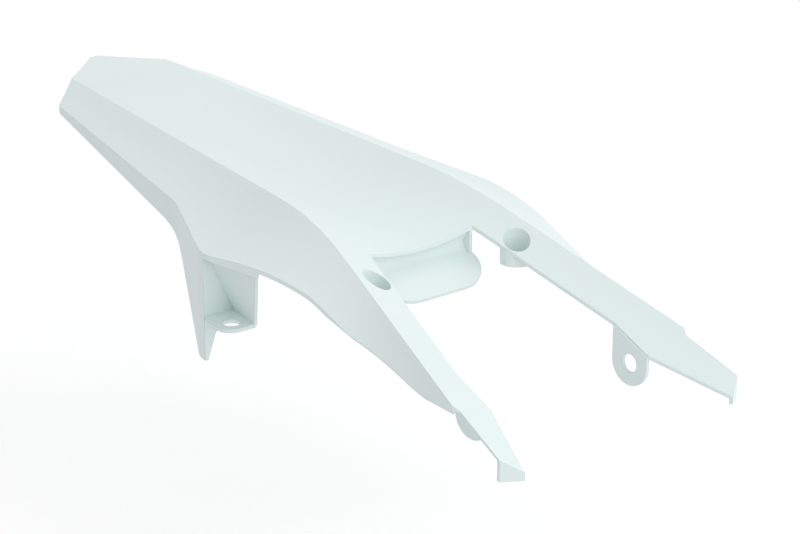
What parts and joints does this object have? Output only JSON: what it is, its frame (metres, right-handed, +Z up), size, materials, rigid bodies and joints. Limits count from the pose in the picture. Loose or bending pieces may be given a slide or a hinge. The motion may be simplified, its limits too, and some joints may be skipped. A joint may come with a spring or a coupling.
{
  "type": "motorcycle rear fender",
  "caption": "White moulded rear fender: a ridged tail with a shallow trough, a folded right leg with a bolt shelf, and two arms with cups, ears and hooked tips.",
  "frame": {"origin": "midway between the two cup bolt holes, on the floors of the cups", "axes": "+X forward along the machine, from the tail to the arm tips; +Y to the rider's left; +Z up"},
  "size_m": [0.6114, 0.274, 0.1456],
  "materials": {
    "white_plastic": "satin gloss, as moulded"
  },
  "bodies": {
    "root": {"rear_fender": "white_plastic"}
  },
  "joints": []
}
